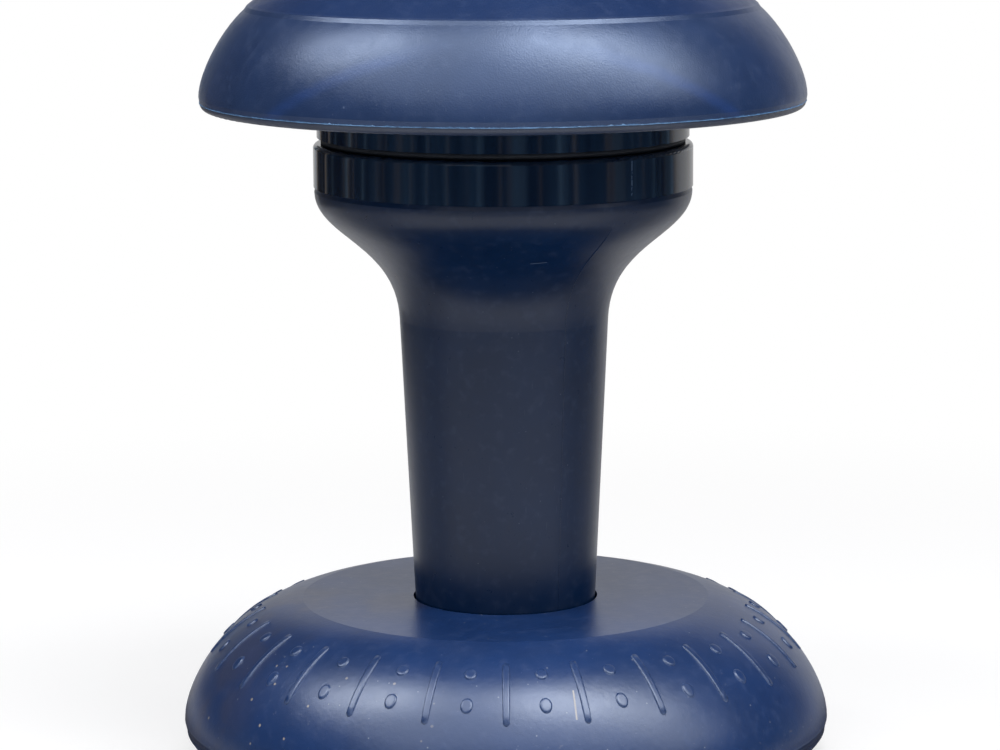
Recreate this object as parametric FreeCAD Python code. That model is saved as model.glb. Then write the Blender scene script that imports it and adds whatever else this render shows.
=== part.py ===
import FreeCAD, Part
import math
import os

# Wobble stool: a domed seat and a domed rocking base, each twist-locked to a
# flared hollow column. Millimetres, +Z up, origin on the floor under the
# middle of the base.

# Outer shape of the base
base_radius = 182.7
base_height = 90.7
annulus_radius = 115.0
shoulder_slope = 10.0
shoulder_reach = 45.0
shoulder_drop = 18.0
widest_height = 23.0
lip_tuck = 0.9
base_wall = 4.5

# Rocking underside
rocker_radius = 730.0
flat_radius = 34.0
outsole_thickness = 3.0
outsole_setback = 2.4
plate_thickness = 3.5
flange_thickness = 2.6
flange_width = 7.5
flange_setback = 1.2
glue_line = 0.2
tread_groove_width = 2.4
tread_groove_depth = 1.2
tread_groove_radii = (58.0, 84.0, 110.0, 136.0, 160.0)
lap_height = 7.0
lap_wall = 2.5
plate_rib_count = 12
plate_rib_thickness = 2.5
plate_rib_top = 25.0
hub_top = 12.0
hub_wall = 9.0

# Column
column_radius = 51.0
column_rise = 234.1
column_taper = 2.7
flare_height = 72.2
flare_foot_handle = 43.0
flare_head_handle = 24.5
column_wall = 4.5
mouth_height = 2.6

# Twist locks
lug_count = 3
lug_arc = 42.0
ledge_arc = 54.0
stop_arc = 4.0
stop_gap = 1.0
lug_height = 6.0
ledge_height = 6.0
lug_width = 6.0
running_gap = 0.6
bearing_gap = 0.3

# Coupler at the head of the column
ring_radius = 105.8
ring_height = 24.0
ring_skin = 2.3
ring_corner = 2.5
ring_bore = 97.5
ring_floor = 6.2
spigot_depth = 6.0
ring_step = 0.4
reveal = 3.6
collar_setback = 2.1
collar_height = 16.0
collar_wall = 3.0
neck_wall = 4.0

# Socket in the base and foot of the column
hole_gap = 1.2
socket_wall = 4.5
socket_floor = 4.0
socket_floor_rise = 15.0
socket_flange_width = 17.0
socket_flange_thickness = 4.0
socket_boss_length = 12.0
foot_wall = 4.0
foot_flange_height = 5.0
foot_plug_height = 26.0

# Seat
seat_radius = 168.7
rim_rise = 4.1
rim_tuck = 0.5
widest_rise = 3.0
seat_shoulder_rise = 50.6
crease_radius = 143.0
crease_slope = 41.5
seat_rim_handle = 12.0
seat_crease_handle = 18.0
crown_step = 0.9
crown_step_width = 1.6
crown_rise = 49.6
seat_wall = 4.0
pan_thickness = 3.5
pan_rib_count = 12
pan_rib_thickness = 2.5
pan_rib_height = 16.0
pan_hub_radius = 14.0

# Screws and the bosses they cut into
screw_radius = 2.0
screw_head_radius = 4.2
screw_head_height = 2.6
screw_length = 12.0
pilot_gap = 0.1
boss_wall = 3.0
boss_height = 14.0
screw_count = 6
base_screw_radius = 150.0
counterbore_gap = 0.8
counterbore_depth = 4.0
foot_screw_count = 4
foot_screw_length = 7.0
head_sink = 0.4

# Heights that follow from the sizes above
seam_height = base_height + column_rise
ring_top = seam_height + ring_height
collar_bottom = ring_top + reveal
pan_bottom = collar_bottom + collar_height
rim_height = pan_bottom + rim_rise
crease_height = rim_height + seat_shoulder_rise
crown_edge_radius = crease_radius - crown_step_width
crown_edge_height = crease_height + crown_step + crown_step_width * math.tan(math.radians(crease_slope))
seat_top = crown_edge_height + crown_rise
ring_floor_top = seam_height + ring_floor
floor_top = hub_top + socket_floor_rise + socket_floor
hole_radius = column_radius + hole_gap
boss_radius = screw_radius + pilot_gap + boss_wall
head_room = screw_head_radius + counterbore_gap

axis_start = FreeCAD.Vector(0, 0, 0)
up = FreeCAD.Vector(0, 0, 1)


def point(r, z):
    """Point of a turned profile, in the XZ plane."""
    return FreeCAD.Vector(r, 0, z)


class Profile:
    """Closed outline in the XZ plane, drawn from point to point."""

    def __init__(self, r, z):
        self.first = point(r, z)
        self.last = self.first
        self.edges = []

    def line(self, r, z):
        end = point(r, z)
        self.edges.append(Part.LineSegment(self.last, end).toShape())
        self.last = end
        return self

    def arc(self, centre_r, centre_z, r, z):
        centre = point(centre_r, centre_z)
        end = point(r, z)
        radius = (self.last - centre).Length
        middle = (self.last - centre) + (end - centre)
        middle.normalize()
        self.edges.append(Part.Arc(self.last, centre + middle * radius, end).toShape())
        self.last = end
        return self

    def bezier(self, first_handle, last_handle, r, z):
        curve = Part.BezierCurve()
        end = point(r, z)
        curve.setPoles([self.last, point(*first_handle), point(*last_handle), end])
        self.edges.append(curve.toShape())
        self.last = end
        return self

    def dome(self, top):
        """Arc from the last point to the axis, level where it meets it."""
        rise = top - self.last.z
        radius = (self.last.x ** 2 + rise ** 2) / (2 * rise)
        return self.arc(0, top - radius, 0, top)

    def face(self):
        if (self.last - self.first).Length > 1e-6:
            self.line(self.first.x, self.first.z)
        return Part.Face(Part.Wire(self.edges))

    def turned(self, angle=360.0):
        return self.face().revolve(axis_start, up, angle)


def tube(inner, outer, bottom, top):
    """Ring with a rectangular section."""
    return Profile(inner, bottom).line(outer, bottom).line(outer, top).line(inner, top).turned()


def sector(inner, outer, bottom, top, start, arc):
    """Part of a ring, from the angle start over arc degrees."""
    piece = Profile(inner, bottom).line(outer, bottom).line(outer, top).line(inner, top).turned(arc)
    piece.rotate(axis_start, up, start)
    return piece


def post(radius, bottom, top, at_radius, angle):
    """Upright cylinder at a polar place."""
    place = point(at_radius, bottom)
    cylinder = Part.makeCylinder(radius, top - bottom, place, up)
    cylinder.rotate(axis_start, up, angle)
    return cylinder


def posts(radius, bottom, top, at_radius, count, start=0.0):
    """Ring of upright cylinders."""
    step = 360.0 / count
    return [post(radius, bottom, top, at_radius, start + step * i) for i in range(count)]


def one(shape):
    """The single solid of a shape, with its coplanar faces joined."""
    clean = shape.removeSplitter()
    return clean.Solids[0] if len(clean.Solids) == 1 else clean


def fused(first, others):
    return one(first.multiFuse(others))


def screw_up(seat_height, at_radius, angle):
    """Screw with its head below seat_height and its shank above it."""
    head = post(screw_head_radius, seat_height - screw_head_height, seat_height, at_radius, angle)
    shank = post(screw_radius, seat_height, seat_height + screw_length, at_radius, angle)
    return one(head.fuse(shank))


def screw_down(seat_height, at_radius, angle):
    """Screw with its head above seat_height and its shank below it."""
    head = post(screw_head_radius, seat_height, seat_height + screw_head_height, at_radius, angle)
    shank = post(screw_radius, seat_height - screw_length, seat_height, at_radius, angle)
    return one(head.fuse(shank))


def ring_of(maker, seat_height, at_radius, count, start=0.0):
    """Compound of separate screws on a circle."""
    step = 360.0 / count
    return Part.makeCompound([maker(seat_height, at_radius, start + step * i) for i in range(count)])


# Rocking underside

def rock(r, offset):
    """Height at radius r of the underside's curve, offset upwards."""
    reach = max(r - flat_radius, 0.0)
    return rocker_radius - math.sqrt((rocker_radius - offset) ** 2 - reach ** 2)


flange_radius = base_radius - flange_setback
bend_radius = flange_radius - flange_width
outsole_radius = base_radius - outsole_setback
plate_offset = outsole_thickness + glue_line
plate_top_offset = plate_offset + plate_thickness
flange_bottom = rock(bend_radius, plate_offset)
flange_top = flange_bottom + flange_thickness
lap_radius = base_radius - lip_tuck - base_wall - running_gap


def rocker_curve(profile, r, offset):
    """Continue a profile from the flat middle along the rocking curve."""
    return profile.arc(flat_radius, rocker_radius, r, rock(r, offset))


def outsole():
    corner = outsole_radius - outsole_thickness
    rim_top = flange_bottom - glue_line
    body = Profile(0, 0).line(flat_radius, 0)
    rocker_curve(body, corner, 0)
    body.line(outsole_radius, rim_top - outsole_thickness / 2)
    body.line(outsole_radius, rim_top)
    body.line(bend_radius, rock(bend_radius, outsole_thickness))
    body.arc(flat_radius, rocker_radius, flat_radius, outsole_thickness).line(0, outsole_thickness)
    sole = body.turned()
    grooves = []
    for radius in tread_groove_radii:
        bottom = rock(radius, 0) - tread_groove_depth
        top = rock(radius, tread_groove_depth)
        inner = radius - tread_groove_width / 2
        grooves.append(tube(inner, inner + tread_groove_width, bottom, top))
    holes = posts(head_room, 0, plate_rib_top, base_screw_radius, screw_count, 15.0)
    return one(sole.cut(grooves + holes))


def plate_ribs():
    """Radial ribs and the pads under the screw bosses, above the plate."""
    middle = plate_offset + plate_thickness / 2
    reach = lap_radius - lap_wall / 2
    zone = Profile(0, middle).line(flat_radius, middle)
    rocker_curve(zone, reach, middle)
    zone.line(reach, plate_rib_top).line(0, plate_rib_top)
    space = zone.turned()
    blades = []
    for i in range(plate_rib_count):
        start = hole_radius + socket_wall
        corner = FreeCAD.Vector(start, -plate_rib_thickness / 2, 0)
        blade = Part.makeBox(reach - start, plate_rib_thickness, plate_rib_top, corner)
        blade.rotate(axis_start, up, 360.0 / plate_rib_count * i)
        blades.append(blade)
    pads = posts(head_room + boss_wall, 0, boss_seat, base_screw_radius, screw_count, 15.0)
    return [space.common(piece) for piece in blades + pads]


boss_seat = rock(base_screw_radius, plate_offset) + counterbore_depth + boss_wall


def rocker_plate():
    body = Profile(0, plate_offset).line(flat_radius, plate_offset)
    rocker_curve(body, bend_radius, plate_offset)
    body.line(flange_radius, flange_bottom).line(flange_radius, flange_top)
    body.line(lap_radius, flange_top).line(lap_radius, flange_top + lap_height)
    body.line(lap_radius - lap_wall, flange_top + lap_height)
    inside = lap_radius - lap_wall
    body.line(inside, rock(inside, plate_top_offset))
    body.arc(flat_radius, rocker_radius, flat_radius, plate_top_offset)
    body.line(0, plate_top_offset)
    hub_outer = hole_radius + socket_wall
    hub = tube(hub_outer - hub_wall, hub_outer, plate_offset + plate_thickness / 2, hub_top)
    solid = fused(body.turned(), [hub] + plate_ribs())
    seat = rock(base_screw_radius, plate_offset) + counterbore_depth
    holes = posts(head_room, 0, seat, base_screw_radius, screw_count, 15.0)
    holes += posts(screw_radius + pilot_gap, 0, boss_seat + 1, base_screw_radius, screw_count, 15.0)
    return one(solid.cut(holes))


def base_screws():
    seat = rock(base_screw_radius, plate_offset) + counterbore_depth
    return ring_of(screw_up, seat, base_screw_radius, screw_count, 15.0)


# Base shell and its socket

socket_radius = hole_radius + socket_wall
socket_screw_radius = socket_radius + socket_flange_width / 2
socket_flange_top = base_height - base_wall - socket_boss_length
ledge_bottom = floor_top + bearing_gap * 2 + lug_height
ledge_inner = hole_radius - lug_width


def shoulder(profile, offset):
    """Continue a profile from the flat ring down the shoulder of the base."""
    slope = math.radians(shoulder_slope)
    start = profile.last
    first = (start.x + shoulder_reach * math.cos(slope), start.z - shoulder_reach * math.sin(slope))
    end_r = base_radius - offset
    last = (end_r, widest_height + shoulder_drop)
    return profile.bezier(first, last, end_r, widest_height)


def base_cavity():
    """Space under the base shell."""
    inner = Profile(0, base_height - base_wall).line(annulus_radius - base_wall / 2, base_height - base_wall)
    shoulder(inner, base_wall)
    inner.line(base_radius - base_wall - lip_tuck, flange_top - 1).line(0, flange_top - 1)
    return inner.turned()


def base_shell():
    outer = Profile(0, base_height).line(annulus_radius, base_height)
    shoulder(outer, 0)
    outer.line(base_radius - lip_tuck, flange_top).line(0, flange_top)
    dome = outer.turned()
    roof = dome.cut(base_cavity())
    bosses = posts(boss_radius, boss_seat, base_height, base_screw_radius, screw_count, 15.0)
    bosses += posts(boss_radius, socket_flange_top, base_height, socket_screw_radius, screw_count)
    solid = fused(roof, [dome.common(boss) for boss in bosses])
    pilot = screw_radius + pilot_gap
    depth = screw_length + boss_wall
    cuts = posts(pilot, boss_seat - 1, boss_seat + depth, base_screw_radius, screw_count, 15.0)
    blind_top = base_height - base_wall / 2
    cuts += posts(pilot, socket_flange_top - 1, blind_top, socket_screw_radius, screw_count)
    cuts.append(Part.makeCylinder(hole_radius, base_height + 1))
    return one(solid.cut(cuts))


def lock_angle(i):
    return 360.0 / lug_count * i


def ledges(inner, outer, floor, underside):
    """Ledges that hold the lugs down, each with its stop rib."""
    pieces = []
    for i in range(lug_count):
        pieces.append(sector(inner, outer, underside, underside + ledge_height, lock_angle(i), ledge_arc))
        pieces.append(sector(inner, outer, floor, underside, lock_angle(i), stop_arc))
    return pieces


def lugs(inner, outer, bottom):
    """Lugs that stand against the stop ribs when the joint is locked."""
    start = stop_arc + stop_gap
    top = bottom + lug_height
    return [sector(inner, outer, bottom, top, lock_angle(i) + start, lug_arc) for i in range(lug_count)]


def base_socket():
    top = base_height - base_wall
    wall = tube(hole_radius, socket_radius, hub_top, top)
    floor = Part.makeCylinder(socket_radius, socket_floor, point(0, floor_top - socket_floor), up)
    flange_outer = socket_radius + socket_flange_width
    flange_bottom_z = socket_flange_top - socket_flange_thickness
    flange = tube(hole_radius, flange_outer, flange_bottom_z, socket_flange_top)
    grip = ledges(ledge_inner, hole_radius + socket_wall / 2, floor_top - socket_floor / 2, ledge_bottom)
    solid = fused(wall, [floor, flange] + grip)
    holes = posts(
        screw_radius + pilot_gap, flange_bottom_z - 1, socket_flange_top + 1, socket_screw_radius, screw_count
    )
    return one(solid.cut(holes))


def socket_screws():
    seat = socket_flange_top - socket_flange_thickness
    return ring_of(screw_up, seat, socket_screw_radius, screw_count)


# Column

column_bottom = ledge_bottom + ledge_height + bearing_gap + foot_flange_height
column_top_radius = ring_radius - ring_step
flare_bottom = seam_height - mouth_height - flare_height


def taper_radius(z):
    """Outer radius of the column's tapered run at height z."""
    return column_radius + (z - base_height) * math.tan(math.radians(column_taper))


def column_outline(profile, offset):
    """Continue a profile from the foot of the column up to its mouth."""
    mouth = seam_height - mouth_height
    lean = math.tan(math.radians(column_taper))
    r = taper_radius(flare_bottom) - offset
    profile.line(r, flare_bottom)
    first = (r + flare_foot_handle * lean, flare_bottom + flare_foot_handle)
    end_r = column_top_radius - offset
    return profile.bezier(first, (end_r, mouth - flare_head_handle), end_r, mouth)


def column_shell():
    mouth_corner = ring_step * 2
    outer = Profile(0, column_bottom).line(taper_radius(column_bottom), column_bottom)
    column_outline(outer, 0)
    outer.line(column_top_radius - mouth_corner, seam_height).line(0, seam_height)
    body = outer.turned()
    below = column_bottom - 1
    above = seam_height + 1
    inner = Profile(0, below).line(taper_radius(below) - column_wall, below)
    column_outline(inner, column_wall)
    inner.line(column_top_radius - column_wall, above).line(0, above)
    shell = body.cut(inner.turned())
    bosses = posts(boss_radius, flare_bottom, seam_height, ring_screw_radius, screw_count, 30.0)
    solid = fused(shell, [body.common(boss) for boss in bosses])
    pilot = screw_radius + pilot_gap
    pilots = posts(pilot, seam_height - screw_length, above, ring_screw_radius, screw_count, 30.0)
    return one(solid.cut(pilots + foot_screw_holes()))


foot_screw_height = column_bottom + foot_plug_height / 2


def radial_posts(radius, inner, outer, z, count):
    """Cylinders that lie along radii, at height z."""
    pieces = []
    for i in range(count):
        rod = Part.makeCylinder(radius, outer - inner, point(inner, z), FreeCAD.Vector(1, 0, 0))
        rod.rotate(axis_start, up, 360.0 / count * (i + 0.5))
        pieces.append(rod)
    return pieces


def foot_screw_seat():
    """Radius at which the heads of the foot screws sit."""
    return taper_radius(foot_screw_height) - screw_head_height - head_sink


def foot_screw_holes():
    pilot = screw_radius + pilot_gap
    seat = foot_screw_seat()
    shafts = radial_posts(pilot, column_radius / 2, seat, foot_screw_height, foot_screw_count)
    return shafts + radial_posts(head_room, seat, hole_radius, foot_screw_height, foot_screw_count)


def foot_screws():
    seat = foot_screw_seat()
    shanks = radial_posts(screw_radius, seat - foot_screw_length, seat, foot_screw_height, foot_screw_count)
    head_top = seat + screw_head_height
    heads = radial_posts(screw_head_radius, seat, head_top, foot_screw_height, foot_screw_count)
    return Part.makeCompound([one(shank.fuse(head)) for shank, head in zip(shanks, heads)])


def column_foot():
    """Plug in the foot of the column, with the lugs that lock in the socket."""
    neck_outer = ledge_inner - running_gap
    guide = hole_radius - running_gap
    flange_bottom_z = column_bottom - foot_flange_height
    plug_top = column_bottom + foot_plug_height
    plug_foot = taper_radius(column_bottom) - column_wall - glue_line
    plug_head = taper_radius(plug_top) - column_wall - glue_line
    outline = Profile(neck_outer - foot_wall, floor_top + bearing_gap).line(neck_outer, floor_top + bearing_gap)
    outline.line(neck_outer, flange_bottom_z).line(guide, flange_bottom_z).line(guide, column_bottom)
    outline.line(plug_foot, column_bottom).line(plug_head, plug_top).line(plug_head - foot_wall, plug_top)
    outline.line(plug_foot - foot_wall, column_bottom)
    outline.line(neck_outer - foot_wall, flange_bottom_z)
    grip = lugs(neck_outer - foot_wall / 2, guide, ledge_bottom - bearing_gap - lug_height)
    return one(fused(outline.turned(), grip).cut(foot_screw_holes()))


# Coupler ring on the column and collar under the seat

ring_screw_radius = ring_bore - lug_width / 2 - screw_head_radius
ring_ledge_bottom = ring_floor_top + bearing_gap * 2 + lug_height
ring_ledge_inner = ring_bore - lug_width
neck_radius = ring_ledge_inner - running_gap
ring_floor_inner = ring_screw_radius - head_room - boss_wall


def coupler_ring():
    spigot_outer = column_top_radius - column_wall - running_gap
    core_top = ring_top - ring_corner - ring_skin
    core_outer = ring_radius - ring_skin
    corner = ring_radius - ring_corner
    outline = Profile(ring_floor_inner, seam_height).line(ring_bore, seam_height)
    outline.line(ring_bore, seam_height - spigot_depth).line(spigot_outer, seam_height - spigot_depth)
    outline.line(spigot_outer, core_top).line(core_outer, core_top).line(core_outer, seam_height)
    outline.line(ring_radius, seam_height).line(ring_radius, ring_top - ring_corner)
    outline.arc(corner, ring_top - ring_corner, corner, ring_top)
    outline.line(ring_bore, ring_top).line(ring_bore, ring_floor_top).line(ring_floor_inner, ring_floor_top)
    wall_middle = (ring_bore + spigot_outer) / 2
    grip = ledges(ring_ledge_inner, wall_middle, ring_floor_top - ring_floor / 2, ring_ledge_bottom)
    solid = fused(outline.turned(), grip)
    head_seat = ring_floor_top - counterbore_depth
    holes = posts(head_room, head_seat, ring_floor_top + 1, ring_screw_radius, screw_count, 30.0)
    pilot = screw_radius + pilot_gap
    holes += posts(pilot, seam_height - 1, ring_floor_top, ring_screw_radius, screw_count, 30.0)
    return one(solid.cut(holes))


def coupler_screws():
    head_seat = ring_floor_top - counterbore_depth
    return ring_of(screw_down, head_seat, ring_screw_radius, screw_count, 30.0)


collar_radius = ring_radius - collar_setback
collar_screw_radius = (neck_radius + collar_radius - collar_wall) / 2


def seat_collar():
    neck_bottom = ring_floor_top + bearing_gap
    flange_bottom_z = pan_bottom - collar_wall
    outline = Profile(neck_radius - neck_wall, neck_bottom).line(neck_radius, neck_bottom)
    outline.line(neck_radius, flange_bottom_z).line(collar_radius - collar_wall, flange_bottom_z)
    outline.line(collar_radius - collar_wall, collar_bottom).line(collar_radius, collar_bottom)
    outline.line(collar_radius, pan_bottom).line(neck_radius - neck_wall, pan_bottom)
    grip = lugs(neck_radius - neck_wall / 2, ring_bore - running_gap, ring_ledge_bottom - bearing_gap - lug_height)
    solid = fused(outline.turned(), grip)
    holes = posts(screw_radius + pilot_gap, flange_bottom_z - 1, pan_bottom + 1, collar_screw_radius, screw_count)
    return one(solid.cut(holes))


def collar_screws():
    return ring_of(screw_up, pan_bottom - collar_wall, collar_screw_radius, screw_count)


# Seat

rim_radius = seat_radius - rim_tuck
pan_floor_top = pan_bottom + pan_thickness
lap_outer = seat_radius - rim_tuck - seat_wall - running_gap


def seat_side(profile, offset):
    """Continue a profile from the widest place of the seat up to the crease."""
    slope = math.radians(crease_slope)
    start = profile.last
    end_r = crease_radius - offset * math.sin(slope)
    end_z = crease_height - offset * math.cos(slope)
    reach = (end_r + seat_crease_handle * math.cos(slope), end_z - seat_crease_handle * math.sin(slope))
    return profile.bezier((start.x, start.z + seat_rim_handle), reach, end_r, end_z)


def seat_shell():
    widest_z = rim_height + widest_rise
    outer = Profile(0, rim_height).line(rim_radius, rim_height).line(seat_radius, widest_z)
    seat_side(outer, 0)
    outer.line(crown_edge_radius, crown_edge_height).dome(seat_top)
    below = rim_height - 1
    inner = Profile(0, below).line(rim_radius - seat_wall, below).line(seat_radius - seat_wall, widest_z)
    seat_side(inner, seat_wall).dome(seat_top - seat_wall)
    return one(outer.turned().cut(inner.turned()))


def seat_pan():
    corner = rim_radius - rim_rise
    outline = Profile(0, pan_bottom).line(corner, pan_bottom)
    outline.arc(corner, rim_height, rim_radius, rim_height)
    outline.line(lap_outer, rim_height).line(lap_outer, rim_height + lap_height)
    outline.line(lap_outer - lap_wall, rim_height + lap_height)
    outline.line(lap_outer - lap_wall, pan_floor_top).line(0, pan_floor_top)
    ribs = []
    for i in range(pan_rib_count):
        corner_point = FreeCAD.Vector(0, -pan_rib_thickness / 2, pan_bottom + pan_thickness / 2)
        rib = Part.makeBox(lap_outer - lap_wall / 2, pan_rib_thickness, pan_rib_height, corner_point)
        rib.rotate(axis_start, up, 360.0 / pan_rib_count * (i + 0.5))
        ribs.append(rib)
    middle = pan_bottom + pan_thickness / 2
    hub = Part.makeCylinder(pan_hub_radius, pan_rib_height, point(0, middle), up)
    bosses = posts(boss_radius, middle, pan_bottom + boss_height, collar_screw_radius, screw_count)
    solid = fused(outline.turned(), ribs + [hub] + bosses)
    pilot = screw_radius + pilot_gap
    top = pan_bottom + boss_height - boss_wall / 2
    return one(solid.cut(posts(pilot, pan_bottom - 1, top, collar_screw_radius, screw_count)))


pieces = {
    "outsole": outsole,
    "rocker_plate": rocker_plate,
    "base_screws": base_screws,
    "base_shell": base_shell,
    "base_socket": base_socket,
    "socket_screws": socket_screws,
    "column_shell": column_shell,
    "column_foot": column_foot,
    "foot_screws": foot_screws,
    "coupler_ring": coupler_ring,
    "coupler_screws": coupler_screws,
    "seat_collar": seat_collar,
    "collar_screws": collar_screws,
    "seat_pan": seat_pan,
    "seat_shell": seat_shell,
}

os.makedirs("parts", exist_ok=True)
for name, make in pieces.items():
    shape = make()
    shape.exportStep("parts/" + name + ".step")
    print(name, len(shape.Solids), "solid(s)", round(shape.Volume / 1000.0, 1), "cm3", shape.isValid())
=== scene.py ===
import math

import bmesh
import bpy
from bpy.props import FloatProperty, FloatVectorProperty, IntProperty, PointerProperty
from bpy.types import Operator, Panel, PropertyGroup
from mathutils import Matrix, Vector, noise
from mathutils.bvhtree import BVHTree


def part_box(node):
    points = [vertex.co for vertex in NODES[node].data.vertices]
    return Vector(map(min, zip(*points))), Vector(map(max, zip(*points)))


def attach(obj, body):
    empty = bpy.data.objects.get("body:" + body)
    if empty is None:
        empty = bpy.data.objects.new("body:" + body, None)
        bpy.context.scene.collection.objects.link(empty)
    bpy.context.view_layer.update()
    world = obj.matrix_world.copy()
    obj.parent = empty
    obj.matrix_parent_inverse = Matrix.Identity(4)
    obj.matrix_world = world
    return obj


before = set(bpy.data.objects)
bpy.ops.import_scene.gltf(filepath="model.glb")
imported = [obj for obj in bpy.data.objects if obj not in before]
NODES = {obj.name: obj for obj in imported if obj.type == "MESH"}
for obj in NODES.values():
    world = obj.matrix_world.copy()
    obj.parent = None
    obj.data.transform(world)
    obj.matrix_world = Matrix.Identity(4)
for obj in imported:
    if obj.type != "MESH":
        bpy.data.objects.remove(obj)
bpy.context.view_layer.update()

bl_info = {
    "name": "Wobble Stool Finish",
    "version": (1, 0, 0),
    "blender": (4, 5, 0),
    "location": "3D View > Sidebar > Stool",
    "description": "Dresses the packed wobble stool in its plastics, grips and wear, and sets up its studio",
    "category": "Object",
}

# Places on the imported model, in metres
BASE_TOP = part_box("base_shell")[1].z
BASE_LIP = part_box("base_shell")[0].z
COLUMN_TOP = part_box("column_shell")[1].z
RING_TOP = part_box("coupler_ring")[1].z
COLLAR_GAP = 0.0036
COLLAR_BOTTOM = RING_TOP + COLLAR_GAP
RIM_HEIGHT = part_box("seat_shell")[0].z
SEAT_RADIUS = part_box("seat_shell")[1].x
CREASE_RADIUS = 0.1414
BEAD_INSET = 0.00045
# Width of the dark band of painted shade in the coupler's gap
GAP_SHADE_WIDTH = 0.004
SCREW_CIRCLE = 0.150
SCREW_COUNT = 6
FIRST_SCREW = 105.0
RAY_REACH = 1.0

# The faint arch of painted reflection on the seat's side, below its highlights: half its width, its feet and
# its rise
ARCH_SPREAD = math.radians(44.0)
ARCH_FOOT = 0.0055
ARCH_RISE = 0.037

# How strongly the surfaces reflect
PLASTIC_IOR = 1.6
SEAT_IOR = 1.8
COLUMN_IOR = 1.45
BASE_IOR = 1.80
DULL_IOR = 1.28

# The studio: the camera's sensor in millimetres, the rest in metres
SENSOR_WIDTH = 36.0
LAMP_HEIGHT = 1.75
PANEL_HEIGHT = 1.77
FLOOR_RADIUS = 8.0

GREY_NAVY = (0.03, 0.04, 0.06)
WHITE = (1.0, 1.0, 1.0, 1.0)
BLACK = (0.0, 0.0, 0.0, 1.0)


# Shader building

class Wire:
    """An output socket. Arithmetic on one that carries a number adds Math nodes to its tree."""

    def __init__(self, shader, socket):
        self.shader = shader
        self.socket = socket

    def __add__(self, other):
        return self.shader.math("ADD", self, other)

    def __radd__(self, other):
        return self.shader.math("ADD", other, self)

    def __sub__(self, other):
        return self.shader.math("SUBTRACT", self, other)

    def __rsub__(self, other):
        return self.shader.math("SUBTRACT", other, self)

    def __mul__(self, other):
        return self.shader.math("MULTIPLY", self, other)

    def __rmul__(self, other):
        return self.shader.math("MULTIPLY", other, self)

    def __lt__(self, other):
        return self.shader.math("LESS_THAN", self, other)


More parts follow.
